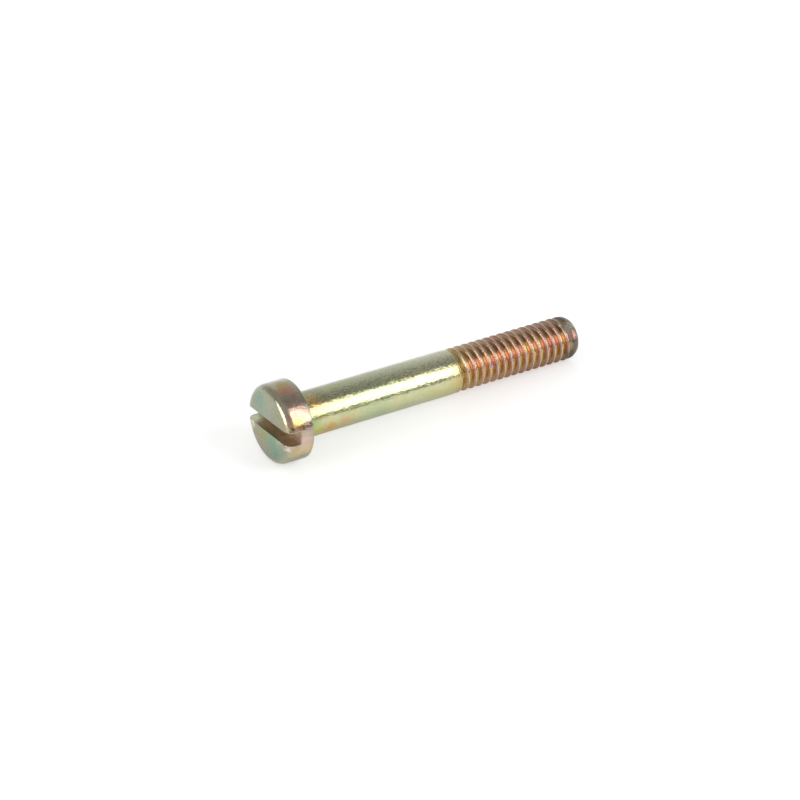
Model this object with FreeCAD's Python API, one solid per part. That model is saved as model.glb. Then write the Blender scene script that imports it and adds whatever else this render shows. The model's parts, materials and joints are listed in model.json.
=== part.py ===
import FreeCAD, Part

import math
import os

# A slotted cheese head screw with a 4 mm thread, as it lies on a table.
# All sizes are in millimetres and all angles in degrees.
# The screw is modelled along +X, from its head to its tip, with the face that
# bears on the work at x = 0. It is laid down at the end.

# Head
HEAD_DIAMETER = 6.85     # at the widest, just above the bearing face
HEAD_HEIGHT = 2.46
HEAD_DRAFT = 0.5         # slope of the side, which narrows towards the slotted face
HEAD_RIM = 0.72          # rounding between the slotted face and the side
BEARING_EDGE = 0.08      # broken edge round the bearing face
NECK_FILLET = 0.20       # between the bearing face and the shank

# Slot
SLOT_WIDTH = 1.20
SLOT_DEPTH = 1.20
SLOT_TURN = 4.9          # how far the slot is turned from level as the screw lies

# Shank
LENGTH = 28.0            # from the bearing face to the tip
SHANK_DIAMETER = 3.90    # of the plain part
SHANK_TAPER = 0.60       # length over which it narrows to the outside of the thread

# Thread
THREAD_LENGTH = 12.6     # from the tip to where the groove has faded out
THREAD_DIAMETER = 3.85   # over the crests
PITCH = 0.75
CREST_WIDTH = 0.094      # flat of a crest, an eighth of the pitch
GROOVE_DEPTH = 0.45
FLANK_ANGLE = 30.0       # between a flank and a plane square to the axis
FADE_LENGTH = 1.15       # length over which the groove rises to the surface
THREAD_TURN = 285.0      # where round the axis the thread begins

# Tip
TIP_LAND = 0.50          # left smooth beyond the end of the groove
TIP_FADE = 0.60          # length over which the groove rises to the land
LEAD_LENGTH = 0.60       # the land narrows a little before the chamfer
LEAD_DEPTH = 0.06
TIP_CHAMFER_LENGTH = 0.30
TIP_CHAMFER_DEPTH = 0.17

AXIS = FreeCAD.Vector(1, 0, 0)
CENTRE = FreeCAD.Vector(0, 0, 0)

bearing_radius = HEAD_DIAMETER / 2
shank_radius = SHANK_DIAMETER / 2
crest_radius = THREAD_DIAMETER / 2
root_radius = crest_radius - GROOVE_DEPTH
thread_start = LENGTH - THREAD_LENGTH
chamfer_start = LENGTH - TIP_CHAMFER_LENGTH
last_crest = chamfer_start - CREST_WIDTH / 2


def tan(degrees):
    return math.tan(math.radians(degrees))


def turned(outline):
    """The solid turned from an outline of (x, radius) corners, given from the head to the tip.

    A corner with a third number is rounded, over that length on each side of it.
    """
    corners = [FreeCAD.Vector(corner[0], 0, corner[1]) for corner in outline]
    edges = []
    last = corners[0]
    for number, corner in enumerate(corners[1:], 1):
        rounding = outline[number][2] if len(outline[number]) > 2 else 0
        if rounding:
            after = corners[number + 1]
            start = corner + (last - corner).normalize() * rounding
            end = corner + (after - corner).normalize() * rounding
            bend = Part.BezierCurve()
            bend.setPoles([start, corner, end])
            edges += [Part.makeLine(last, start), bend.toShape()]
            last = end
        else:
            edges.append(Part.makeLine(last, corner))
            last = corner
    edges.append(Part.makeLine(last, corners[0]))
    return Part.Face(Part.Wire(edges)).revolve(CENTRE, AXIS, 360)


def make_blank():
    """The head, the shank and the pointed-off tip, before the slot and the thread are cut."""
    face_radius = bearing_radius - HEAD_HEIGHT * tan(HEAD_DRAFT)
    return turned([
        (-HEAD_HEIGHT, 0),
        (-HEAD_HEIGHT, face_radius, HEAD_RIM),
        (-BEARING_EDGE, bearing_radius),
        (0, bearing_radius - BEARING_EDGE),
        (0, shank_radius, NECK_FILLET),
        (thread_start - SHANK_TAPER, shank_radius),
        (thread_start, crest_radius),
        (chamfer_start - LEAD_LENGTH, crest_radius),
        (chamfer_start, crest_radius - LEAD_DEPTH),
        (LENGTH, crest_radius - LEAD_DEPTH - TIP_CHAMFER_DEPTH),
        (LENGTH, 0),
    ])


def make_slot():
    """The straight slot across the slotted face."""
    across = HEAD_DIAMETER + 2
    corner = FreeCAD.Vector(-HEAD_HEIGHT - 1, -across / 2, -SLOT_WIDTH / 2)
    slot = Part.makeBox(SLOT_DEPTH + 1, across, SLOT_WIDTH, corner)
    slot.rotate(CENTRE, AXIS, -SLOT_TURN)
    return slot


def make_groove():
    """The right-hand groove of the thread: one V-shaped section carried along a helix."""
    outside = crest_radius + 0.06
    half_floor = (PITCH - CREST_WIDTH) / 2 - GROOVE_DEPTH * tan(FLANK_ANGLE)
    half_mouth = half_floor + (outside - root_radius) * tan(FLANK_ANGLE)
    section = Part.makePolygon([
        FreeCAD.Vector(root_radius, 0, -half_floor),
        FreeCAD.Vector(outside, 0, -half_mouth),
        FreeCAD.Vector(outside, 0, half_mouth),
        FreeCAD.Vector(root_radius, 0, half_floor),
        FreeCAD.Vector(root_radius, 0, -half_floor),
    ])
    turns = math.ceil(THREAD_LENGTH / PITCH) + 3
    helix = Part.makeLongHelix(PITCH, turns * PITCH, crest_radius, 0)
    groove = Part.Wire(helix.Edges).makePipeShell([section], True, True)
    groove.rotate(CENTRE, FreeCAD.Vector(0, 1, 0), 90)
    groove.rotate(CENTRE, AXIS, THREAD_TURN)
    groove.translate(FreeCAD.Vector(last_crest - (turns - 2.5) * PITCH, 0, 0))
    return groove


def make_run_out():
    """The cone on which the groove climbs out at the head end of the thread."""
    slope = GROOVE_DEPTH / FADE_LENGTH
    proud = 0.3
    begin = thread_start - proud / slope
    end = thread_start + 1.4 * FADE_LENGTH
    return turned([
        (begin - 4 * PITCH, 0),
        (begin - 4 * PITCH, crest_radius + proud),
        (begin, crest_radius + proud),
        (end, crest_radius - 1.4 * GROOVE_DEPTH),
        (end, 0),
    ])


def make_tip_run_out():
    """The cone on which the groove climbs out before the smooth land at the tip."""
    slope = GROOVE_DEPTH / TIP_FADE
    proud = 0.3
    groove_end = LENGTH - TIP_LAND
    begin = groove_end - 1.4 * TIP_FADE
    end = groove_end + proud / slope
    return turned([
        (begin, 0),
        (begin, crest_radius - 1.4 * GROOVE_DEPTH),
        (end, crest_radius + proud),
        (end + 4 * PITCH, crest_radius + proud),
        (end + 4 * PITCH, 0),
    ])


def lay_down(screw):
    """Rests the screw on z = 0, on the edge of its head and a crest near its tip, and centres it."""
    crest_below = last_crest - PITCH * THREAD_TURN / 360
    drop = math.atan2(bearing_radius - crest_radius, crest_below + BEARING_EDGE)
    screw.rotate(CENTRE, FreeCAD.Vector(0, 1, 0), math.degrees(drop))
    box = screw.optimalBoundingBox(False)
    screw.translate(FreeCAD.Vector(-box.Center.x, -box.Center.y, -box.ZMin))
    return screw


def make_screw():
    """The whole screw, one piece of steel."""
    groove = make_groove().cut(make_run_out()).cut(make_tip_run_out())
    screw = make_blank().cut(groove).cut(make_slot())
    return lay_down(screw.Solids[0])


screw = make_screw()
print("solids", len(screw.Solids), "valid", screw.isValid(), "volume", round(screw.Volume, 2))
print("axis at the bearing face", screw.Placement.multVec(CENTRE))
print("axis at the tip", screw.Placement.multVec(FreeCAD.Vector(LENGTH, 0, 0)))
print("box", screw.optimalBoundingBox(False))
os.makedirs("parts", exist_ok=True)
screw.exportStep("parts/screw.step")
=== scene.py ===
# %% [markdown]
# # A slotted cheese head screw
#
# This lesson dresses one small screw: a 4 mm machine screw with a low round head,
# a straight screwdriver slot, a plain shank and a thread at its end, plated with
# zinc and passivated yellow. It lies on a table, on the edge of its head and on
# its last turns of thread.
#
# A screw is a turned thing, so nearly all of it can be drawn as half a profile
# and spun round an axis. A shiny screw is also a small mirror: its look comes
# from smooth surfaces, from thin films of colour, and from what stands round it.

# %% Tools and the frame
import json
import math

import bmesh
import bpy
from mathutils import Matrix, Vector


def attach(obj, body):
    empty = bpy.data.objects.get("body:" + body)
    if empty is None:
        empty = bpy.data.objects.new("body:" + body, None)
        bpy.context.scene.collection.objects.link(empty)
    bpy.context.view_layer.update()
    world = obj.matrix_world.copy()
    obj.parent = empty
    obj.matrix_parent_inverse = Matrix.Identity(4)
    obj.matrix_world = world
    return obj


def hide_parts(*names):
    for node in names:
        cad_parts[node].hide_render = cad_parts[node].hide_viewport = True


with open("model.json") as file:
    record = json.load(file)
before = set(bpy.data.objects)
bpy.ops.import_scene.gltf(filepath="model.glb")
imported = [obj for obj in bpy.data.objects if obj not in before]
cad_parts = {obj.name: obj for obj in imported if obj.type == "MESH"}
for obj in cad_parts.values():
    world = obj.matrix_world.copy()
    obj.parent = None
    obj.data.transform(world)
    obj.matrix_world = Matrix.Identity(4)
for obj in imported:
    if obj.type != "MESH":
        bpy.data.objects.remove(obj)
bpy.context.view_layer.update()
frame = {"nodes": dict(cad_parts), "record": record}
print("the frame's nodes:", list(frame["nodes"]))

# %% [markdown]
# ## The sizes
#
# Small metal parts are drawn in millimetres, with the face that bears on the
# work at x = 0 and the tip on +X. The mesh is made that way too, and is scaled to
# metres and laid down at the end. The head, the slot and the shank have the
# standard sizes of a 4 mm screw, and the pitch of the thread is the photograph's.

# %% Sizes in millimetres
HEAD_DIAMETER = 6.85        # at the widest, just above the bearing face
HEAD_HEIGHT = 2.46
HEAD_DRAFT = math.radians(0.5)    # slope of the side
HEAD_RIM = 0.72             # rounding between the slotted face and the side
BEARING_EDGE = 0.08         # broken edge round the bearing face
NECK_FILLET = 0.20          # between the bearing face and the shank

SLOT_WIDTH = 1.20
SLOT_DEPTH = 1.20
SLOT_TURN = math.radians(4.9)     # from level, as the screw lies
SLOT_EDGE = 0.045           # bevel of its edges

LENGTH = 28.0               # from the bearing face to the tip
SHANK_DIAMETER = 3.90       # of the plain part
SHANK_TAPER = 0.60          # length over which it narrows to the thread

THREAD_LENGTH = 12.6        # from the tip to where the groove has faded out
THREAD_DIAMETER = 3.85      # over the crests
PITCH = 0.75
CREST_WIDTH = 0.094         # an eighth of the pitch
GROOVE_DEPTH = 0.45
FLANK_ANGLE = math.radians(30.0)  # between a flank and a plane square to the axis
FADE_LENGTH = 1.15          # length over which the groove rises to the surface
THREAD_TURN = 285.0         # degrees round the axis to where the thread begins

TIP_LAND = 0.50             # left smooth beyond the end of the groove
TIP_FADE = 0.60             # length over which the groove rises to the land
LEAD_LENGTH = 0.60          # the land narrows a little before the chamfer
LEAD_DEPTH = 0.06
TIP_CHAMFER_LENGTH = 0.30
TIP_CHAMFER_DEPTH = 0.17

bearing_radius = HEAD_DIAMETER / 2
shank_radius = SHANK_DIAMETER / 2
crest_radius = THREAD_DIAMETER / 2
thread_start = LENGTH - THREAD_LENGTH
chamfer_start = LENGTH - TIP_CHAMFER_LENGTH
last_crest = chamfer_start - CREST_WIDTH / 2
print("thread from", round(thread_start, 2), "to", LENGTH, "mm")

# %% [markdown]
# ## The head and the plain shank
#
# On the real screw the head is pressed from the wire in a die, which is why its
# rim is round and its side slopes a little. A spin of half the profile gives the
# same shape as a lathe would. The profile has sharp corners, and each corner is
# rounded afterwards with a bevel of its own size, which is easier to change than
# a curve drawn by hand. The circle has 128 steps, so that a reflection runs round
# it without corners.

# %% Turn the head and the shank
STEPS = 128
SAME_PLACE = 1e-4   # points nearer than this, in millimetres, are one point

screw = bmesh.new()
face_radius = bearing_radius - HEAD_HEIGHT * math.tan(HEAD_DRAFT)
corners = [
    (-HEAD_HEIGHT, 0),
    (-HEAD_HEIGHT, face_radius),
    (0, bearing_radius),
    (0, shank_radius),
    (thread_start - SHANK_TAPER, shank_radius),
]
profile = [screw.verts.new((x, 0, radius)) for x, radius in corners]
for before, after in zip(profile, profile[1:]):
    screw.edges.new((before, after))
bmesh.ops.spin(
    screw, geom=screw.verts[:] + screw.edges[:], cent=(0, 0, 0), axis=(1, 0, 0),
    angle=math.tau, steps=STEPS, use_merge=True, use_duplicate=False,
)
bmesh.ops.remove_doubles(screw, verts=screw.verts[:], dist=SAME_PLACE)
print("turned:", len(screw.verts), "vertices and", len(screw.faces), "faces")


# %% Round its corners
def ring(mesh, x, radius):
    """The edges of a turned mesh that run round it at this place."""
    def on_ring(vert):
        off_ring = math.hypot(vert.co.y, vert.co.z) - radius
        return abs(vert.co.x - x) < SAME_PLACE and abs(off_ring) < SAME_PLACE
    return [edge for edge in mesh.edges if on_ring(edge.verts[0]) and on_ring(edge.verts[1])]


def round_off(mesh, edges, size, segments):
    """Rounds these edges over this length on each side of them."""
    bmesh.ops.bevel(
        mesh, geom=edges, offset=size, offset_type='OFFSET', segments=segments,
        profile=0.5, affect='EDGES', material=-1, clamp_overlap=True,
    )


round_off(screw, ring(screw, -HEAD_HEIGHT, face_radius), HEAD_RIM, segments=12)
round_off(screw, ring(screw, 0, bearing_radius), BEARING_EDGE, segments=3)
round_off(screw, ring(screw, 0, shank_radius), NECK_FILLET, segments=5)
print("rounded:", len(screw.verts), "vertices and", len(screw.faces), "faces")

# %% [markdown]
# ## The slot
#
# The slot is milled or sawn straight across the head, so its walls are flat and
# its edges are crisp, with only a trace of a bevel that catches the light. It
# could be cut with a Boolean modifier. Three planes do it more cleanly: each one
# bisects the mesh where a wall or the floor will be, the faces between them are
# taken out, and three flat faces close the gap. The head is still straight here,
# and is turned a few degrees afterwards.

# %% Cut the slot
ON_PLANE = 1e-5     # a point this near to a cutting plane, in millimetres, lies on it

wall = SLOT_WIDTH / 2
floor = -HEAD_HEIGHT + SLOT_DEPTH
cuts = [((0, 0, wall), (0, 0, 1)), ((0, 0, -wall), (0, 0, 1)), ((floor, 0, 0), (1, 0, 0))]
for point, facing in cuts:
    head = [face for face in screw.faces if face.calc_center_median().x < -BEARING_EDGE]
    geometry = set(head)
    for face in head:
        geometry.update(face.edges)
        geometry.update(face.verts)
    bmesh.ops.bisect_plane(
        screw, geom=list(geometry), dist=ON_PLANE, plane_co=point, plane_no=facing,
    )

chips = []
for face in screw.faces:
    middle = face.calc_center_median()
    if middle.x < floor and abs(middle.z) < wall:
        chips.append(face)
bmesh.ops.delete(screw, geom=chips, context='FACES')
print("slot cut, with", len(chips), "faces taken out")


# %% Close its walls and its floor
def at(vert, x=None, z=None):
    """Whether a point has this x, this z, or both."""
    at_x = x is None or abs(vert.co.x - x) < SAME_PLACE
    at_z = z is None or abs(vert.co.z - z) < SAME_PLACE
    return at_x and at_z


mouth_edges = []
for edge in screw.edges:
    if edge.is_boundary and edge.verts[0].co.x < -BEARING_EDGE:
        mouth_edges.append(edge)
mouth = {vert for edge in mouth_edges for vert in edge.verts}
floor_edges = []
for z in (wall, -wall):
    ends = [vert for vert in mouth if at(vert, floor, z)]
    ends.sort(key=lambda vert: vert.co.y)
    floor_edges.append(screw.edges.new((ends[0], ends[-1])))
for z, bottom in zip((wall, -wall), floor_edges):
    loop = [edge for edge in mouth_edges if at(edge.verts[0], z=z) and at(edge.verts[1], z=z)]
    bmesh.ops.edgeloop_fill(screw, edges=loop + [bottom])
loop = [edge for edge in mouth_edges if at(edge.verts[0], floor) and at(edge.verts[1], floor)]
bmesh.ops.edgeloop_fill(screw, edges=loop + floor_edges)
bmesh.ops.recalc_face_normals(screw, faces=screw.faces[:])
still_open = sum(edge.is_boundary for edge in screw.edges)
print("slot closed:", len(screw.faces), "faces, and the shank's end has", still_open, "open edges")


# %% Break its edges and turn the head
def beside_slot(vert):
    """Whether a point lies on a wall, an edge or the floor of the slot."""
    return vert.co.x <= floor + SAME_PLACE and abs(vert.co.z) <= wall + SAME_PLACE


sharp_from = math.radians(50)
sharp = []
for edge in screw.edges:
    if len(edge.link_faces) == 2 and edge.calc_face_angle() > sharp_from:
        if all(beside_slot(vert) for vert in edge.verts):
            sharp.append(edge)
round_off(screw, sharp, SLOT_EDGE, segments=2)
level_to_turned = Matrix.Rotation(-SLOT_TURN, 3, 'X')
bmesh.ops.rotate(screw, verts=screw.verts[:], cent=(0, 0, 0), matrix=level_to_turned)
print("slot's edges broken:", len(sharp))

# %% [markdown]
# ## The thread
#
# A thread is one V-shaped groove that climbs 0.75 mm in each turn. One turn of it
# is a spin that also moves a little along the axis at every step. The profile is
# one pitch long, from the middle of a crest to the middle of the next, so that
# each turn meets the one before it. The other turns are copies, each moved on by
# a pitch, which is much quicker than one long spin. The root of the groove is
# round and the corners of the crest are broken, because that is where light
# gathers on a real thread.

# %% Draw one pitch of the thread
crest_half = CREST_WIDTH / 2
root_radius = crest_radius - GROOVE_DEPTH
root_half = (PITCH - CREST_WIDTH) / 2 - GROOVE_DEPTH * math.tan(FLANK_ANGLE)


def flank(x):
    """The radius of the flank at this distance from the middle of the crest."""
    return crest_radius - (x - crest_half) / math.tan(FLANK_ANGLE)


broken_corner = crest_half * 1.45
flank_end = PITCH / 2 - root_half * 1.30
half_groove = [
    # The crest, flat and with a broken corner.
    (0, crest_radius),
    (crest_half * 0.50, crest_radius),
    (crest_half * 0.95, crest_radius - 0.010),
    # The straight flank.
    (broken_corner, flank(broken_corner)),
    (PITCH * 0.19, flank(PITCH * 0.19)),
    (PITCH * 0.31, flank(PITCH * 0.31)),
    (flank_end, flank(flank_end)),
    # The round root.
    (PITCH / 2 - root_half * 0.80, root_radius + 0.018),
    (PITCH / 2 - root_half * 0.35, root_radius + 0.003),
    (PITCH / 2, root_radius),
]
other_half = [(PITCH - x, radius) for x, radius in reversed(half_groove[:-1])]
print("one pitch:", len(half_groove + other_half), "points, depth", GROOVE_DEPTH, "mm")

# %% Spin it into one turn
SPARE_TURNS = 2     # past each end of the thread, and trimmed off later

turns = math.ceil(THREAD_LENGTH / PITCH) + 2 * SPARE_TURNS
begin = last_crest - PITCH * THREAD_TURN / 360 - (turns - SPARE_TURNS) * PITCH
thread = bmesh.new()
profile = [thread.verts.new((begin + x, 0, -radius)) for x, radius in half_groove + other_half]
for before, after in zip(profile, profile[1:]):
    thread.edges.new((before, after))
bmesh.ops.spin(
    thread, geom=thread.verts[:] + thread.edges[:], cent=(0, 0, 0), axis=(1, 0, 0),
    dvec=(PITCH / STEPS, 0, 0), angle=math.tau, steps=STEPS,
    use_merge=False, use_duplicate=False,
)
print("one turn:", len(thread.faces), "faces")

# %% Copy the turn along the screw and join the turns
one_turn = thread.verts[:] + thread.edges[:] + thread.faces[:]
for number in range(1, turns):
    copy = bmesh.ops.duplicate(thread, geom=one_turn)["geom"]
    moved = [part for part in copy if isinstance(part, bmesh.types.BMVert)]
    bmesh.ops.translate(thread, verts=moved, vec=(PITCH * number, 0, 0))
bmesh.ops.remove_doubles(thread, verts=thread.verts[:], dist=SAME_PLACE)
print("thread:", turns, "turns,", len(thread.faces), "faces")

# %% [markdown]
# At the head end of a real thread the groove gets shallower until it is gone. At
# the tip it fades too, into a smooth land that narrows to a small chamfer, so
# that a nut starts easily. All of these are cones. Planes first mark where each
# cone begins, then every point is moved out until it lies on the cone that fills
# the groove, or in until it lies on the one that narrows the tip, and the ends are
# trimmed square.

# %% Fade the groove out at both ends and narrow the tip
groove_end = LENGTH - TIP_LAND
lead_start = chamfer_start - LEAD_LENGTH
fade_end = thread_start + FADE_LENGTH
marks = (thread_start, fade_end, groove_end - TIP_FADE, lead_start, groove_end, chamfer_start)
for x in marks:
    bmesh.ops.bisect_plane(
        thread, geom=thread.verts[:] + thread.edges[:] + thread.faces[:], dist=ON_PLANE,
        plane_co=(x, 0, 0), plane_no=(1, 0, 0),
    )
for vert in thread.verts:
    x = vert.co.x
    radius = math.hypot(vert.co.y, vert.co.z)
    fill_at_head = crest_radius - GROOVE_DEPTH * (x - thread_start) / FADE_LENGTH
    fill_at_tip = crest_radius - GROOVE_DEPTH * (groove_end - x) / TIP_FADE
    lead = crest_radius - LEAD_DEPTH * (x - lead_start) / LEAD_LENGTH
    into_chamfer = (x - chamfer_start) / TIP_CHAMFER_LENGTH
    chamfer = crest_radius - LEAD_DEPTH - TIP_CHAMFER_DEPTH * into_chamfer
    wanted = max(radius, fill_at_head, fill_at_tip)
    wanted = min(wanted, crest_radius, lead, chamfer)
    vert.co.y *= wanted / radius
    vert.co.z *= wanted / radius
print("the groove ends", TIP_LAND, "mm before the tip")

# %% Trim both ends and close the tip
PLAIN_COLLAR = 0.02     # left before the groove, for the joint with the shank
CAP_BORDER = 0.05       # a narrow ring round the end face, which keeps its shading flat

for x, outwards in ((LENGTH, 1), (thread_start - PLAIN_COLLAR, -1)):
    bmesh.ops.bisect_plane(
        thread, geom=thread.verts[:] + thread.edges[:] + thread.faces[:], dist=ON_PLANE,
        plane_co=(x, 0, 0), plane_no=(outwards, 0, 0), clear_outer=True,
    )
tip = []
for edge in thread.edges:
    if edge.is_boundary and edge.verts[0].co.x > LENGTH - SAME_PLACE:
        tip.append(edge)
cap = bmesh.ops.edgeloop_fill(thread, edges=tip)["faces"]
bmesh.ops.inset_region(thread, faces=cap, thickness=CAP_BORDER)
print("trimmed thread:", len(thread.faces), "faces")

# %% [markdown]
# ## One piece of steel
#
# The head with its plain shank and the threaded end are now joined into one
# closed skin: a bridge between their two open rings makes the short taper on
# which the shank goes down to the thread. Then the whole screw is turned and
# moved to where it lies. That place goes into the mesh and not into the object,
# so that the object itself stays at the origin.

# %% Join the two parts
threaded_end = bpy.data.meshes.new("threaded end")
thread.to_mesh(threaded_end)
thread.free()
screw.from_mesh(threaded_end)
bpy.data.meshes.remove(threaded_end)
bmesh.ops.bridge_loops(screw, edges=[edge for edge in screw.edges if edge.is_boundary])
bmesh.ops.remove_doubles(screw, verts=screw.verts[:], dist=SAME_PLACE)
bmesh.ops.recalc_face_normals(screw, faces=screw.faces[:])
print("open or doubled edges:", sum(not edge.is_manifold for edge in screw.edges))
print("volume:", round(screw.calc_volume(), 1), "cubic mm")

# %% Lay the screw down where the frame has it
MM = 0.001          # a millimetre in metres
CREASE = math.radians(40)

bearing = next(mount for mount in frame["record"]["mounts"] if mount["name"] == "bearing_face")
along = Vector(bearing["axis"]).normalized()
dip = math.atan2(-along.z, along.x)
lie = Matrix.Translation(Vector(bearing["pos_m"])) @ Matrix.Rotation(dip, 4, 'Y')
bmesh.ops.transform(screw, matrix=lie @ Matrix.Scale(MM, 4), verts=screw.verts[:])

for face in screw.faces:
    face.smooth = True
for edge in screw.edges:
    edge.smooth = len(edge.link_faces) == 2 and edge.calc_face_angle() < CREASE

mesh = bpy.data.meshes.new("cheese_head_screw")
screw.to_mesh(mesh)
screw.free()
piece = bpy.data.objects.new("cheese_head_screw", mesh)
bpy.context.scene.collection.objects.link(piece)
print("the screw leans by", round(math.degrees(dip), 2), "degrees")
print(piece.name, "has", len(mesh.polygons), "faces")

# %% [markdown]
# A bevel next to a long face bends the shading of that face, because a point's
# normal is the mean of the faces round it. The Weighted Normal modifier lets the
# larger face decide, so that the shank and the slotted face stay straight in
# their reflections and only the narrow roundings turn.

# %% Keep the long faces straight
weighted = piece.modifiers.new("straight faces", 'WEIGHTED_NORMAL')
weighted.mode = 'FACE_AREA'
weighted.weight = 50
weighted.keep_sharp = True
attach(piece, "root")
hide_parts("screw")
print(piece.name, "rides on the root body and stands for the screw")

# %% [markdown]
# ## Yellow passivated zinc
#
# The steel is plated with a few thousandths of a millimetre of zinc and dipped in
# a chromate bath, which leaves a film thinner than a wavelength of light. The
# metal under it is what gives the eye its shine: metallic 1, and a roughness of
# about 0.1 from the fine grain of the plating. The film gives the colour, which
# changes with its thickness from pale green through yellow and gold to pink.
#
# The patterns are worked out in millimetres on the screw's own axis. A Mapping
# node of the Texture kind undoes the place and the lean of the screw, so that X
# runs from the head to the tip wherever the screw lies.

# %% Helpers for colours and nodes
def linear(code):
    """An sRGB hex colour as the linear colour that a shader works in."""
    colour = []
    for start in (0, 2, 4):
        value = int(code[start:start + 2], 16) / 255
        colour.append(value / 12.92 if value <= 0.04045 else ((value + 0.055) / 1.055) ** 2.4)
    return (*colour, 1)


def add(tree, kind, inputs=None, stops=None, **settings):
    """Adds a node: its settings, its ramp's stops, and its inputs as values or links."""
    node = tree.nodes.new(kind)
    for name, value in settings.items():
        setattr(node, name, value)
    for name, value in (inputs or {}).items():
        if isinstance(value, bpy.types.NodeSocket):
            tree.links.new(value, node.inputs[name])
        else:
            node.inputs[name].default_value = value
    if stops:
        points = node.color_ramp.elements
        while len(points) < len(stops):
            points.new(1)
        for point, (position, colour) in zip(points, stops):
            point.position = position
            point.color = colour
    return node


print("half grey, 808080, is", round(linear('808080')[0], 3), "in linear light")

# %% Places on the screw, in millimetres
zinc = bpy.data.materials.new("yellow passivated zinc")
zinc.use_nodes = True
tree = zinc.node_tree
tree.nodes.clear()

coordinates = add(tree, 'ShaderNodeTexCoord')
in_mm = add(tree, 'ShaderNodeMapping', {
    'Vector': coordinates.outputs['Object'],
    'Location': bearing["pos_m"],
    'Rotation': (0, dip, 0),
    'Scale': (MM, MM, MM),
}, vector_type='TEXTURE').outputs[0]
parts = add(tree, 'ShaderNodeSeparateXYZ', {0: in_mm})
along_x = parts.outputs['X']
sideways = add(tree, 'ShaderNodeVectorMath', {
    0: in_mm, 1: (0, 1, 1),
}, operation='MULTIPLY').outputs[0]
from_axis = add(tree, 'ShaderNodeVectorMath', {0: sideways}, operation='LENGTH').outputs['Value']
print("places are measured from the bearing face, in millimetres")

# %% [markdown]
# The bath drains down the screw and stays longer in its corners, so the film's
# colour changes in bands along the axis, with blurred and uneven edges, and in
# cloudy patches a few millimetres wide. One colour ramp gives the bands and a
# second one the patches, both read at the same place along the axis. A soft noise
# pushes that place to and fro by half a millimetre, but only beyond the head,
# whose face, rim and side keep their own colours.

# %% A place along the axis that is pushed to and fro
FIRST, LAST = -2.6, 28.1    # just past both ends of the screw
CLOUDS_PER_MM = 0.45        # clouds of the film are a little over 2 mm wide

cloud = add(tree, 'ShaderNodeTexNoise', {
    'Vector': in_mm, 'Scale': CLOUDS_PER_MM, 'Detail': 3.0, 'Roughness': 0.55,
}).outputs[0]
freedom = add(tree, 'ShaderNodeMapRange', {
    'Value': along_x, 'From Min': 0.2, 'From Max': 2.5, 'To Min': 0.0, 'To Max': 3.0,
}).outputs[0]
centred = add(tree, 'ShaderNodeMath', {0: cloud, 1: 0.5}, operation='SUBTRACT').outputs[0]
pushed = add(tree, 'ShaderNodeMath', {
    0: centred, 1: freedom, 2: along_x,
}, operation='MULTIPLY_ADD').outputs[0]
along_screw = add(tree, 'ShaderNodeMapRange', {
    'Value': pushed, 'From Min': FIRST, 'From Max': LAST,
}).outputs[0]
print("bands run along", round(LAST - FIRST, 1), "mm")


# %% The film's colours along the axis
PATCHES_PER_MM = 0.42


def along_axis(stops):
    """Stops at places along the axis, for a ramp that runs from FIRST to LAST."""
    return [((x - FIRST) / (LAST - FIRST), linear(code)) for x, code in stops]


# In both ramps the stops from 27.2 mm on darken the tip: painted shade.
film = add(tree, 'ShaderNodeValToRGB', {'Fac': along_screw}, stops=along_axis([
    (-2.60, '93997B'), (-2.44, '9C9B7E'), (-2.32, 'C1B89E'), (-1.70, 'BBA999'), (-0.20, 'B4A291'),
    (-0.02, 'AAAF87'), (0.70, '9DB789'), (1.80, 'CCC99E'), (5.00, 'CCCB9E'), (9.00, 'CBCCA0'),
    (12.0, 'CECDA4'), (14.8, 'D0CBA2'), (15.6, 'CCB884'), (16.6, 'BE9D80'), (20.0, 'B99580'),
    (26.5, 'B28F7B'), (27.2, '7A7465'), (28.1, '6C685A'),
]))
stain = add(tree, 'ShaderNodeValToRGB', {'Fac': along_screw}, stops=along_axis([
    (-2.60, '8F9573'), (-2.44, '999376'), (-2.32, 'C1B297'), (-1.70, 'BDA68D'), (-0.20, 'B09982'),
    (-0.02, '9BAA7F'), (0.70, '95B886'), (1.80, 'C7C38D'), (5.00, 'C1C799'), (9.00, 'BEC99E'),
    (12.0, 'C5C993'), (14.8, 'CCC78D'), (15.6, 'CBB47D'), (16.6, 'B68F74'), (20.0, 'B08875'),
    (26.5, 'A67F70'), (27.2, '7B6B61'), (28.1, '72635B'),
]))
patches = add(tree, 'ShaderNodeTexNoise', {
    'Vector': in_mm, 'Scale': PATCHES_PER_MM, 'Detail': 3.0, 'Roughness': 0.5, 'Distortion': 0.6,
}).outputs[0]
patchy = add(tree, 'ShaderNodeMapRange', {
    'Value': patches, 'From Min': 0.42, 'From Max': 0.66,
}, interpolation_type='SMOOTHSTEP').outputs[0]
coloured = add(tree, 'ShaderNodeMix', {
    0: patchy, 6: film.outputs[0], 7: stain.outputs[0],
}, data_type='RGBA').outputs[2]
print("film colours:", len(film.color_ramp.elements), "along the axis, and as many in patches")
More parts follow.
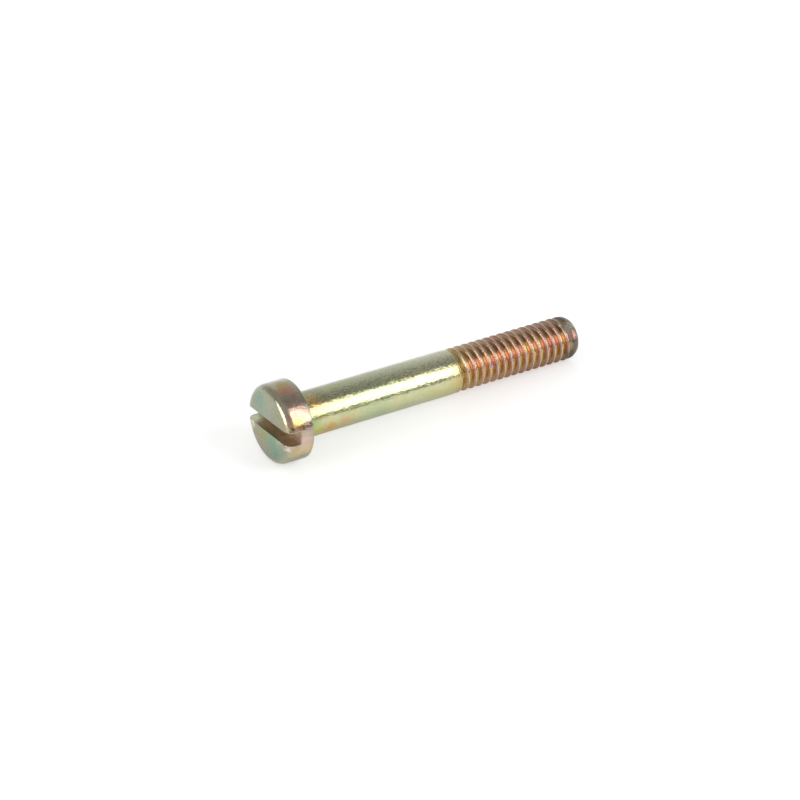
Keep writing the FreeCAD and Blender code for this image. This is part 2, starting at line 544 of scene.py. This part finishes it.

# %% [markdown]
# The film is painted greyer on top and on its underside than on the side that
# faces the camera, and that grey gets paler towards the thread: a painted
# reflection tone, for the greyer look of the metal above and below the bright band.
# So a second colour is mixed in by the angle round the axis: 0 degrees towards the
# camera, 90 at the top. The same noise pushes the angle about a little.

# %% The angle round the axis
towards_camera = add(tree, 'ShaderNodeMath', {
    0: parts.outputs['Y'], 1: -1.0,
}, operation='MULTIPLY').outputs[0]
round_axis = add(tree, 'ShaderNodeMath', {
    0: parts.outputs['Z'], 1: towards_camera,
}, operation='ARCTAN2').outputs[0]
drift = add(tree, 'ShaderNodeMath', {
    0: centred, 1: 0.9, 2: round_axis,
}, operation='MULTIPLY_ADD').outputs[0]
turned_by = add(tree, 'ShaderNodeMapRange', {
    'Value': drift, 'From Min': -math.pi, 'From Max': math.pi,
}).outputs[0]
print("angles run from -180 to 180 degrees, and 0 faces the camera")


# %% A painted greyer film above and below
def by_angle(stops):
    """Stops at degrees round the axis, for a ramp that runs from -180 to 180."""
    return [((degrees + 180) / 360, linear(code)) for degrees, code in stops]


# Painted reflection tone: a greyer film everywhere except from -8 to 50 degrees round the axis.
painted_greyness = add(tree, 'ShaderNodeValToRGB', {'Fac': turned_by}, stops=by_angle([
    (-180, 'D0D0D0'), (-30, 'D0D0D0'), (-8, '000000'), (50, '000000'), (70, 'D0D0D0'),
    (180, 'D0D0D0'),
])).outputs[0]
before_thread = add(tree, 'ShaderNodeMapRange', {
    'Value': along_x, 'From Min': thread_start + 0.6, 'From Max': thread_start - 0.2,
}).outputs[0]
painted_grey_amount = add(tree, 'ShaderNodeMath', {
    0: painted_greyness, 1: before_thread,
}, operation='MULTIPLY').outputs[0]
farther = add(tree, 'ShaderNodeMapRange', {
    'Value': along_x, 'From Min': 4.0, 'From Max': 13.0,
}).outputs[0]
painted_grey_film = add(tree, 'ShaderNodeMix', {
    0: farther, 6: linear('A2A692'), 7: linear('BEC0B0'),
}, data_type='RGBA').outputs[2]
coloured = add(tree, 'ShaderNodeMix', {
    0: painted_grey_amount, 6: coloured, 7: painted_grey_film,
}, data_type='RGBA').outputs[2]
print("greyer all round except from -8 to 50 degrees")

# %% [markdown]
# The groove of the thread holds the bath longest, so its film is heaviest there,
# ochre at the bottom of the groove. From 16 to 50 degrees, where the groove reflects
# the soft box, it is painted paler and goes from gold to rose from one turn to the
# next: a painted reflection. A mask puts it in: one ramp along the axis, and one by
# the distance from it.

# %% The groove's colours, with a painted reflection
TINTS_PER_MM = 0.9      # so the tint changes from one turn to the next

groove_film_and_painted_sheen = add(tree, 'ShaderNodeValToRGB', {'Fac': turned_by}, stops=by_angle([
    (-180, 'B8A27F'), (-90, 'C1A772'), (5, 'BF9E5D'), (60, 'BC9E75'), (130, 'B49E82'),
    (180, 'B8A27F'),
])).outputs[0]
# Painted reflection: the mask of the zone where the groove reflects the soft box.
painted_lit = add(tree, 'ShaderNodeValToRGB', {'Fac': turned_by}, stops=by_angle([
    (2, '000000'), (16, 'FFFFFF'), (50, 'FFFFFF'), (64, '000000'),
])).outputs[0]
each_turn = add(tree, 'ShaderNodeTexNoise', {
    'Vector': in_mm, 'Scale': TINTS_PER_MM, 'Detail': 1.0,
}).outputs[0]
painted_turn_tints = add(tree, 'ShaderNodeValToRGB', {'Fac': each_turn}, stops=[
    (0.38, linear('E4C283')), (0.50, linear('E0B48E')), (0.62, linear('DAA49C')),
]).outputs[0]
groove_film_and_painted_sheen = add(tree, 'ShaderNodeMix', {
    0: painted_lit, 6: groove_film_and_painted_sheen, 7: painted_turn_tints,
}, data_type='RGBA').outputs[2]
print("the film is thickest from 16 to 50 degrees")

# %% Put them into the groove
FILM_TOP, FILM_BOTTOM = 1.84, 1.52      # from the axis: where it begins and where it is full

in_thread = add(tree, 'ShaderNodeMapRange', {
    'Value': along_x, 'From Min': thread_start, 'From Max': thread_start + 1.0,
}, interpolation_type='SMOOTHSTEP').outputs[0]
deep = add(tree, 'ShaderNodeMapRange', {
    'Value': from_axis, 'From Min': FILM_TOP, 'From Max': FILM_BOTTOM,
}, interpolation_type='SMOOTHSTEP').outputs[0]
before_land = add(tree, 'ShaderNodeMapRange', {
    'Value': along_x, 'From Min': LENGTH - 0.3, 'From Max': LENGTH - 0.6,
}).outputs[0]
groove = add(tree, 'ShaderNodeMath', {0: in_thread, 1: deep}, operation='MULTIPLY').outputs[0]
groove = add(tree, 'ShaderNodeMath', {
    0: groove, 1: before_land,
}, operation='MULTIPLY').outputs[0]
with_groove = add(tree, 'ShaderNodeMix', {
    0: groove, 6: coloured, 7: groove_film_and_painted_sheen,
}, data_type='RGBA').outputs[2]
print("the groove's film begins", round(crest_radius - FILM_TOP, 3), "mm below the crests")

# %% [markdown]
# The crests are painted pale: a painted highlight, for the thin light lines along
# them. They are what lies within a fiftieth of a millimetre of the thread's
# outside.

# %% Pale crests, a painted highlight
PAINTED_HIGHLIGHT_FROM, PAINTED_HIGHLIGHT_FULL = 1.905, 1.924    # from the axis

high = add(tree, 'ShaderNodeMapRange', {
    'Value': from_axis, 'From Min': PAINTED_HIGHLIGHT_FROM, 'From Max': PAINTED_HIGHLIGHT_FULL,
}).outputs[0]
before_tip = add(tree, 'ShaderNodeMapRange', {
    'Value': along_x, 'From Min': LENGTH - 0.9, 'From Max': LENGTH - 1.4, 'To Max': 0.8,
}).outputs[0]
highlit = add(tree, 'ShaderNodeMath', {0: in_thread, 1: high}, operation='MULTIPLY').outputs[0]
# The painted highlight's mask on the crests, weaker near the tip.
crest = add(tree, 'ShaderNodeMath', {0: highlit, 1: before_tip}, operation='MULTIPLY').outputs[0]
with_painted_crest_highlights = add(tree, 'ShaderNodeMix', {
    0: crest, 6: with_groove, 7: linear('DCCAB6'),
}, data_type='RGBA').outputs[2]
print("the crests are worn over", round(crest_radius - PAINTED_HIGHLIGHT_FROM, 3), "mm of their height")

# %% [markdown]
# The slot holds the bath too, and its walls keep the fine marks of the cutter,
# which run along it. Its film is a beige brown, drawn in streaks a fifth of a
# millimetre wide. The mask is a slab of the slot's width, turned with the slot.

# %% A mask for the slot
below_face = add(tree, 'ShaderNodeMapRange', {
    'Value': along_x, 'From Min': -HEAD_HEIGHT + 0.03, 'From Max': -HEAD_HEIGHT + 0.10,
}).outputs[0]
above_floor = add(tree, 'ShaderNodeMapRange', {
    'Value': along_x, 'From Min': floor + 0.16, 'From Max': floor + 0.06,
}).outputs[0]
tilted = add(tree, 'ShaderNodeVectorMath', {
    0: in_mm, 1: (0, math.sin(SLOT_TURN), math.cos(SLOT_TURN)),
}, operation='DOT_PRODUCT').outputs['Value']
from_middle = add(tree, 'ShaderNodeMath', {0: tilted}, operation='ABSOLUTE').outputs[0]
inside = add(tree, 'ShaderNodeMapRange', {
    'Value': from_middle, 'From Min': wall + 0.025, 'From Max': wall + 0.005,
}).outputs[0]
between = add(tree, 'ShaderNodeMath', {
    0: below_face, 1: above_floor,
}, operation='MULTIPLY').outputs[0]
in_slot = add(tree, 'ShaderNodeMath', {0: between, 1: inside}, operation='MULTIPLY').outputs[0]
print("slot masked, turned by", round(math.degrees(SLOT_TURN), 1), "degrees")

# %% The slot's film
streaks_per_mm = (5.0, 0.35, 5.0)   # short across the slot, and long in its direction
streak_place = add(tree, 'ShaderNodeVectorMath', {
    0: in_mm, 1: streaks_per_mm,
}, operation='MULTIPLY').outputs[0]
streaks = add(tree, 'ShaderNodeTexNoise', {
    'Vector': streak_place, 'Scale': 1.0, 'Detail': 2.0,
}).outputs[0]
cut = add(tree, 'ShaderNodeMapRange', {
    'Value': streaks, 'From Min': 0.35, 'From Max': 0.65,
}).outputs[0]
slot_film = add(tree, 'ShaderNodeMix', {
    0: cut, 6: linear('AC947F'), 7: linear('C1B29A'),
}, data_type='RGBA').outputs[2]
with_slot = add(tree, 'ShaderNodeMix', {
    0: in_slot, 6: with_painted_crest_highlights, 7: slot_film,
}, data_type='RGBA').outputs[2]
print("streaks:", round(1 / streaks_per_mm[0], 2), "by", round(1 / streaks_per_mm[1], 2), "mm")

# %% [markdown]
# Where a drop of the bath hung, the film dried thicker and shows gold, brick red
# or teal. These stains are few and large, so each is listed one by one. Each row says
# how far along the axis it is, how many degrees round from the side that faces the
# camera, how far from the axis, then its radius, its colour and its strength. The
# distance to its middle is measured at a place that a noise has pushed about, which
# frays its edge.

# %% Stains left by drops, and some painted light and shade
# Most rows are stains; the rows marked below are painted light and shade.
STAINS_AND_PAINTED_LIGHT = [
    (-2.46, 130, 2.2, 1.6, '7A9E87', 0.70),
    (-2.46, -47, 1.9, 1.7, '7DA28C', 0.80),
    (-2.46, -119, 1.1, 1.0, '9DA26C', 0.60),
    (-2.40, -142, 2.6, 1.1, 'AE9D80', 0.70),
    (-1.08, 95, 3.4, 0.7, '9A9949', 0.80),
    (-1.15, 79, 3.4, 1.2, 'B27F68', 0.75),
    (-1.50, 62, 3.4, 0.9, '9E867A', 0.50),
    (-1.50, 42, 3.4, 1.0, 'C3917A', 0.75),
    (-1.45, 26, 3.4, 0.8, 'CBA05C', 0.85),
    (-1.60, -20, 3.4, 0.9, 'CCBA78', 0.75),
    (-0.60, -18, 3.4, 1.0, 'DAC69C', 0.75),
    (-1.50, -16, 1.8, 1.2, 'E2C9A8', 0.60),
    # Painted light: the far end of the slot floor, where direct light reaches it.
    (-1.85, -162, 2.8, 1.1, 'E4EACC', 0.95),
    # Painted highlight on the lower lip of the slot's mouth.
    (-2.44, -8, 2.85, 0.45, 'F0DCD2', 0.90),
    (-0.85, 0, 3.4, 0.9, 'D6BAAC', 0.75),
    (-0.70, -46, 3.4, 1.3, '82846C', 0.85),
    (1.20, 58, 1.9, 1.2, 'F0C078', 0.85),
    (2.30, -26, 1.9, 0.9, 'D6A35A', 0.90),
    (4.00, -14, 1.9, 1.1, 'D2B084', 0.80),
    # The next two are partly the tip's own pink and grey-green spots, partly painted light that
    # brightens them.
    (27.4, 36, 1.9, 0.8, 'D4A695', 0.85),
    (27.4, 60, 1.9, 0.8, 'CCC8B4', 0.80),
    (-1.30, 178, 3.3, 1.4, 'B4BCA0', 0.85),
    (6.60, -30, 1.9, 1.6, 'B2C6A2', 0.60),
    (3.20, 175, 1.9, 2.0, 'BE9C78', 0.45),
    (8.50, 200, 1.9, 1.9, 'A4B58A', 0.60),
    (1.20, -22, 1.9, 1.1, 'C6C66C', 0.80),
    # Darker on top of the shank, beside the head.
    (1.60, 96, 1.9, 1.5, '9A9C7E', 0.60),
    # Painted shade on the lower front of the tip.
    (27.4, -22, 1.9, 1.0, '5C584E', 0.80),
]
print("stains:", len(STAINS_AND_PAINTED_LIGHT))

# %% Mix the stains and the painted light and shade in, with frayed edges
FRAYS_PER_MM = 1.1

fray = add(tree, 'ShaderNodeTexNoise', {
    'Vector': in_mm, 'Scale': FRAYS_PER_MM, 'Detail': 3.0, 'Roughness': 0.6,
}).outputs['Color']
# The noise lies round a half, so every place moves by half of the push on average.
push = Vector((2.2, 2.2, 2.2))
mean_push = push / 2
frayed = add(tree, 'ShaderNodeVectorMath', {
    0: fray, 1: push, 2: in_mm,
}, operation='MULTIPLY_ADD').outputs[0]
stained_and_painted_light = with_slot
for x, turned, radius, size, code, strength in STAINS_AND_PAINTED_LIGHT:
    angle = math.radians(turned)
    middle = Vector((x, -radius * math.cos(angle), radius * math.sin(angle))) + mean_push
    away = add(tree, 'ShaderNodeVectorMath', {
        0: frayed, 1: middle,
    }, operation='DISTANCE').outputs['Value']
    amount = add(tree, 'ShaderNodeMapRange', {
        'Value': away, 'From Min': size * 1.1, 'From Max': size * 0.2, 'To Max': strength,
    }, interpolation_type='SMOOTHSTEP').outputs[0]
    stained_and_painted_light = add(tree, 'ShaderNodeMix', {
        0: amount, 6: stained_and_painted_light, 7: linear(code),
    }, data_type='RGBA').outputs[2]
print("nodes so far:", len(tree.nodes))

# %% [markdown]
# Plated steel isn't smooth under a lens. It has a fine grain, which breaks the
# edges of a reflection into specks. The real grain is a few hundredths of a
# millimetre across. It is drawn at about an eighth, a little over one pixel in this
# picture, because finer grain wouldn't show. Under it lie slight waves of a third of
# a millimetre. Both are deepest on the plain shank, which is the drawn wire as it
# came, and slighter on the pressed head and the rolled thread.

# %% Grain and waves
GRAINS_PER_MM = 8.5
WAVES_PER_MM = 3.0
FORMED_DEPTH = 0.7      # of the grain's depth is left where the metal was formed

# Drawing the wire has stretched both a little along it.
stretched = add(tree, 'ShaderNodeVectorMath', {
    0: in_mm, 1: (0.7, 1, 1),
}, operation='MULTIPLY').outputs[0]
grain = add(tree, 'ShaderNodeTexNoise', {
    'Vector': stretched, 'Scale': GRAINS_PER_MM, 'Detail': 2.0, 'Roughness': 0.7,
}).outputs[0]
swell = add(tree, 'ShaderNodeTexNoise', {
    'Vector': stretched, 'Scale': WAVES_PER_MM, 'Detail': 1.0, 'Roughness': 0.5,
}).outputs[0]
pressed = add(tree, 'ShaderNodeMapRange', {
    'Value': along_x, 'From Min': 0.0, 'From Max': 0.5, 'To Min': 1.0, 'To Max': 0.0,
}).outputs[0]
rolled = add(tree, 'ShaderNodeMapRange', {
    'Value': along_x, 'From Min': thread_start - 0.4, 'From Max': thread_start + 0.4,
}).outputs[0]
formed = add(tree, 'ShaderNodeMath', {0: pressed, 1: rolled}, operation='MAXIMUM').outputs[0]
depth = add(tree, 'ShaderNodeMapRange', {
    'Value': formed, 'To Min': 1.0, 'To Max': FORMED_DEPTH,
}).outputs[0]
print("grain:", round(1 / GRAINS_PER_MM, 2), "mm, waves:", round(1 / WAVES_PER_MM, 2), "mm")

# %% [markdown]
# The grain varies the roughness too. The shank and the head are glossy, the thread
# is duller because its film is thicker, and the cut walls of the slot are only
# satin.

# %% Roughness
SMOOTHEST, ROUGHEST = 0.07, 0.16
THREAD_ADDS = 0.14
SLOT_ROUGHNESS = 0.50

glossy = add(tree, 'ShaderNodeMapRange', {
    'Value': grain, 'From Min': 0.3, 'From Max': 0.7, 'To Min': SMOOTHEST, 'To Max': ROUGHEST,
}).outputs[0]
duller = add(tree, 'ShaderNodeMath', {
    0: rolled, 1: THREAD_ADDS, 2: glossy,
}, operation='MULTIPLY_ADD').outputs[0]
roughness = add(tree, 'ShaderNodeMapRange', {
    'Value': in_slot, 'To Min': duller, 'To Max': SLOT_ROUGHNESS,
}).outputs[0]
print("roughness on the shank:", SMOOTHEST, "to", ROUGHEST)

# %% [markdown]
# Small pits lie between the grains, and the film in them is darker. A ramp by the
# angle round the axis also paints dark specks: painted shade, deepest at the edges of
# the bright band and on the dark line under it, where a dent in the metal would
# reflect the dark room. A second ramp, along the axis, keeps that to the sides of the
# screw: on the flat faces at its ends an angle round the axis would draw rays.

# %% Where the painted specks show
exact_angle = add(tree, 'ShaderNodeMapRange', {
    'Value': round_axis, 'From Min': -math.pi, 'From Max': math.pi,
}).outputs[0]
# Painted shade: deepest from 18 to 22 and from 48 to 53 degrees.
painted_specks_by_angle = add(tree, 'ShaderNodeValToRGB', {'Fac': exact_angle}, stops=by_angle([
    (-180, '808080'), (-60, '646464'), (0, '565656'), (14, '606060'), (18, 'F0F0F0'),
    (22, 'F0F0F0'), (27, '646464'), (44, '646464'), (48, 'FFFFFF'), (53, 'F4F4F4'),
    (57, 'D8D8D8'), (72, 'C8C8C8'), (84, '8C8C8C'), (100, '747474'), (180, '808080'),
])).outputs[0]
exact_place = add(tree, 'ShaderNodeMapRange', {
    'Value': along_x, 'From Min': FIRST, 'From Max': LAST,
}).outputs[0]
on_sides = add(tree, 'ShaderNodeValToRGB', {'Fac': exact_place}, stops=along_axis([
    (-2.40, '404040'), (-2.20, '909090'), (-0.20, 'C0C0C0'), (-0.10, '404040'),
    (0.10, '404040'), (0.30, 'FFFFFF'), (15.0, 'FFFFFF'), (15.8, '808080'),
    (27.3, '808080'), (27.6, '404040'),
])).outputs[0]
on_face = add(tree, 'ShaderNodeMapRange', {
    'Value': along_x, 'From Min': -2.2, 'From Max': -2.4, 'To Max': 0.35,
}).outputs[0]
pits_and_painted_specks = add(tree, 'ShaderNodeMath', {
    0: painted_specks_by_angle, 1: on_sides, 2: on_face,
}, operation='MULTIPLY_ADD').outputs[0]
print("pits are deepest from 18 to 22 and from 48 to 53 degrees")

# %% Dark specks in the film, partly painted shade
DARKEST_SPECK = 0.42      # of the film's light is left in it

pit_and_painted_speck_darkness = add(tree, 'ShaderNodeMapRange', {
    'Value': pits_and_painted_specks, 'To Min': 1.0, 'To Max': DARKEST_SPECK,
}).outputs[0]
shade = add(tree, 'ShaderNodeMapRange', {
    'Value': grain, 'From Min': 0.34, 'From Max': 0.56, 'To Min': pit_and_painted_speck_darkness, 'To Max': 1.04,
}).outputs[0]
film_colour = add(tree, 'ShaderNodeVectorMath', {
    0: stained_and_painted_light, 'Scale': shade,
}, operation='SCALE').outputs[0]
print("the deepest pits are at", DARKEST_SPECK, "of the film's light")

# %% [markdown]
# A bump lays the waves on the surface first and the grain over them. Both are about
# two hundredths of a millimetre high at most, too little to change the outline.

# %% The finish put together
WAVE_HEIGHT = 0.024 * MM
GRAIN_HEIGHT = 0.017 * MM

waves = add(tree, 'ShaderNodeBump', {
    'Height': swell, 'Strength': depth, 'Distance': WAVE_HEIGHT,
}).outputs[0]
specks = add(tree, 'ShaderNodeBump', {
    'Height': grain, 'Strength': depth, 'Distance': GRAIN_HEIGHT, 'Normal': waves,
}).outputs[0]
metal = add(tree, 'ShaderNodeBsdfPrincipled', {
    'Base Color': film_colour, 'Metallic': 1.0, 'Roughness': roughness, 'Normal': specks,
}).outputs[0]
add(tree, 'ShaderNodeOutputMaterial', {'Surface': metal})
mesh.materials.append(zinc)
print("material:", zinc.name, "with", len(tree.nodes), "nodes")

# %% [markdown]
# ## The studio
#
# The photograph was taken on a white table. A tall soft box stands to the right
# in front of the screw and makes the broad bright band along it. Between the
# table and the soft box a strip of the dark room shows, which is the thin dark
# line under the band. A smaller white panel to the left gives the line of light on
# the rim of the head. The room above is dim, which makes the dark stripe over the
# band.

# %% Floor
def sheet(name, width, depth, place):
    """A flat rectangle of the studio, which doesn't count as part of the screw."""
    grid = bmesh.new()
    bmesh.ops.create_grid(grid, x_segments=1, y_segments=1, size=0.5)
    bmesh.ops.scale(grid, vec=(width, depth, 1), verts=grid.verts[:])
    bmesh.ops.transform(grid, matrix=place, verts=grid.verts[:])
    sheet_mesh = bpy.data.meshes.new(name)
    grid.to_mesh(sheet_mesh)
    grid.free()
    sheet_object = bpy.data.objects.new(name, sheet_mesh)
    bpy.context.scene.collection.objects.link(sheet_object)
    print(name, width, "by", depth, "m")
    return sheet_object


table = sheet("table", 3.0, 3.0, Matrix.Identity(4))

# %% [markdown]
# The table is covered with white matt paper, which scatters light evenly and takes
# the screw's shadow. Light Path adds just enough to what the camera and the metal
# see of it to make it white, without putting more light on the screw.

# %% White paper
SEEN_LIFT = 0.46
MIRRORED_LIFT = 0.45

paper = bpy.data.materials.new("white matt paper")
paper.use_nodes = True
tree = paper.node_tree
tree.nodes.clear()
matt = add(tree, 'ShaderNodeBsdfDiffuse', {'Color': linear('F2F2F2')}).outputs[0]
ray = add(tree, 'ShaderNodeLightPath')
mirrored = add(tree, 'ShaderNodeMath', {
    0: ray.outputs['Is Glossy Ray'], 1: ray.outputs['Is Transmission Ray'],
}, operation='MAXIMUM').outputs[0]
# Close under the screw, where the room's light can't reach, the table stays dark.
open_sky = add(tree, 'ShaderNodeAmbientOcclusion', {'Distance': 0.010}, samples=8).outputs['AO']
mirrored = add(tree, 'ShaderNodeMath', {
    0: mirrored, 1: open_sky,
}, operation='MULTIPLY').outputs[0]
mirrored = add(tree, 'ShaderNodeMath', {
    0: mirrored, 1: MIRRORED_LIFT,
}, operation='MULTIPLY').outputs[0]
lift = add(tree, 'ShaderNodeMath', {
    0: ray.outputs['Is Camera Ray'], 1: SEEN_LIFT, 2: mirrored,
}, operation='MULTIPLY_ADD').outputs[0]
glow = add(tree, 'ShaderNodeEmission', {'Color': linear('FFFFFF'), 'Strength': lift}).outputs[0]
both = add(tree, 'ShaderNodeAddShader', {0: matt, 1: glow}).outputs[0]
add(tree, 'ShaderNodeOutputMaterial', {'Surface': both})
table.data.materials.append(paper)
print("the table wears", paper.name)

# %% [markdown]
# The dark line under the bright band is the gap between the table and the soft
# box. A low dark strip stands there, and a dark ribbon lies in front of it, exactly
# where the plain shank reflects the table at a low angle. The camera doesn't see
# either of them and neither darkens the table: they are dark sheets put where there
# is only shade, a painted reflection of that gap, which work like the black cards
# that photographers put beside shiny things.

# %% Dark sheets at the foot of the soft box, for a painted reflection
STRIP_HEIGHT = 0.066
STRIP_LENGTH = 1.8
RIBBON_WIDTH = 0.0138
RIBBON_LENGTH = 0.33
RIBBON_TURN = math.radians(27.2)
RIBBON_CORNER = (0.0183, -0.0311, 0.0003)

# Both sheets are a painted reflection: they put the dark gap into what the metal mirrors.
stand_up = Matrix.Rotation(math.radians(90), 4, 'X')
foot = Matrix.Translation((0.4, -0.36, STRIP_HEIGHT / 2))
strip = sheet("dark strip", STRIP_LENGTH, STRIP_HEIGHT, foot @ stand_up)
strip.visible_camera = False
strip.visible_diffuse = False

away_from_shank = Matrix.Translation(RIBBON_CORNER) @ Matrix.Rotation(RIBBON_TURN, 4, 'Z')
from_corner = Matrix.Translation((-RIBBON_WIDTH / 2, -RIBBON_LENGTH / 2, 0))
ribbon = sheet("dark ribbon", RIBBON_WIDTH, RIBBON_LENGTH, away_from_shank @ from_corner)
ribbon.visible_camera = False
ribbon.visible_diffuse = False
ribbon.visible_shadow = False

# %% The dark sheets' colour, for the painted reflection
# A dark matt colour, which swallows nearly all light.
painted_dark_reflection = bpy.data.materials.new("black felt")
painted_dark_reflection.use_nodes = True
tree = painted_dark_reflection.node_tree
tree.nodes.clear()
black = add(tree, 'ShaderNodeBsdfDiffuse', {'Color': linear('202020')}).outputs[0]
add(tree, 'ShaderNodeOutputMaterial', {'Surface': black})
strip.data.materials.append(painted_dark_reflection)
ribbon.data.materials.append(painted_dark_reflection)
print("the strip and the ribbon wear", painted_dark_reflection.name)

# %% [markdown]
# A cylinder reflects the room in stripes that run along it, so the room's light is
# set by the angle over the screw: pale behind the table's front edge, brightest
# just beside the soft box, dark over it and pale again towards the back. To the
# left the room gets only a little darker upwards, for the face of the head. The
# room is the fill light too, and keeps the shadow on the table soft.

# %% Room light
ROOM_STRENGTH = 1.2

room = bpy.data.worlds.new("dim studio")
bpy.context.scene.world = room
room.use_nodes = True
tree = room.node_tree
tree.nodes.clear()
direction = add(tree, 'ShaderNodeTexCoord').outputs['Generated']
compass = add(tree, 'ShaderNodeSeparateXYZ', {'Vector': direction})
forward = add(tree, 'ShaderNodeMath', {
    0: compass.outputs['Y'], 1: -1.0,
}, operation='MULTIPLY').outputs[0]
rise = add(tree, 'ShaderNodeMath', {
    0: compass.outputs['Z'], 1: forward,
}, operation='ARCTAN2').outputs[0]
half_turn = add(tree, 'ShaderNodeMath', {0: rise, 1: math.pi}, operation='DIVIDE').outputs[0]
over = add(tree, 'ShaderNodeValToRGB', {'Fac': half_turn}, stops=[
    (degrees / 180, linear(code)) for degrees, code in (
        (0, 'C4C4C4'), (40, 'D0D0D0'), (55, 'F0F0F0'), (70, '929292'), (80, '989898'),
        (92, '9C9C9C'), (112, 'B6B6B6'), (140, 'D2D2D2'), (180, 'E0E0E0'),
    )
]).outputs[0]
left = add(tree, 'ShaderNodeValToRGB', {'Fac': compass.outputs['Z']}, stops=[
    (0.0, linear('D0D0D0')), (0.30, linear('B8B8B8')), (0.42, linear('A6A6A6')),
    (1.0, linear('A6A6A6')),
]).outputs[0]
to_left = add(tree, 'ShaderNodeMapRange', {
    'Value': compass.outputs['X'], 'From Min': 0.25, 'From Max': -0.25,
}, interpolation_type='SMOOTHSTEP').outputs[0]
walls = add(tree, 'ShaderNodeMix', {0: to_left, 6: over, 7: left}, data_type='RGBA').outputs[2]
air = add(tree, 'ShaderNodeBackground', {
    'Color': walls, 'Strength': ROOM_STRENGTH,
}).outputs[0]
add(tree, 'ShaderNodeOutputWorld', {'Surface': air})
print("room light:", room.name, "at", ROOM_STRENGTH)

# %% [markdown]
# Two flat lamps stand in this room. The soft box is tall and narrow as the screw
# sees it, 27 degrees wide and 45 high, which ends the bright patch on the side of
# the head in straight edges. The left panel is smaller and lies low.

# %% Soft box and panel
def panel(name, centre, width, height, watts):
    """A flat lamp that faces the screw, and which the camera doesn't see."""
    lamp = bpy.data.lights.new(name, 'AREA')
    lamp.shape = 'RECTANGLE'
    lamp.size = width
    lamp.size_y = height
    lamp.energy = watts
    lamp_object = bpy.data.objects.new(name, lamp)
    lamp_object.location = centre
    lamp_object.rotation_euler = (-Vector(centre)).to_track_quat('-Z', 'Y').to_euler()
    lamp_object.visible_camera = False
    bpy.context.scene.collection.objects.link(lamp_object)
    print(name, "radiance", round(watts / (math.pi * width * height), 2))


panel("tall soft box", (0.2127, -0.3463, 0.1982), width=0.22, height=0.378, watts=0.60)
panel("left panel", (-0.42, 0.02, 0.095), width=0.30, height=0.18, watts=0.60)

# %% [markdown]
# ## The camera
#
# The screw in the photograph narrows from its head to its tip, so the lens stood
# fairly close: about 23 cm away, looking down by 33 degrees. Its place was worked
# out from the outline of the screw. It looks straight, without a shift.

# %% Camera
TILT = math.radians(56.824)     # up from looking straight down
TURN = math.radians(-33.072)    # round from looking along +Y

eye = bpy.data.cameras.new("camera")
eye.lens = 119.34
eye.sensor_width = 36
eye.clip_start = 0.01
camera = bpy.data.objects.new("camera", eye)
camera.location = (-0.104673, -0.157382, 0.124221)
camera.rotation_euler = (TILT, 0, TURN)
bpy.context.scene.collection.objects.link(camera)
bpy.context.scene.camera = camera
bpy.context.scene.view_settings.view_transform = 'Standard'
print("camera distance:", round(camera.location.length, 3), "m")
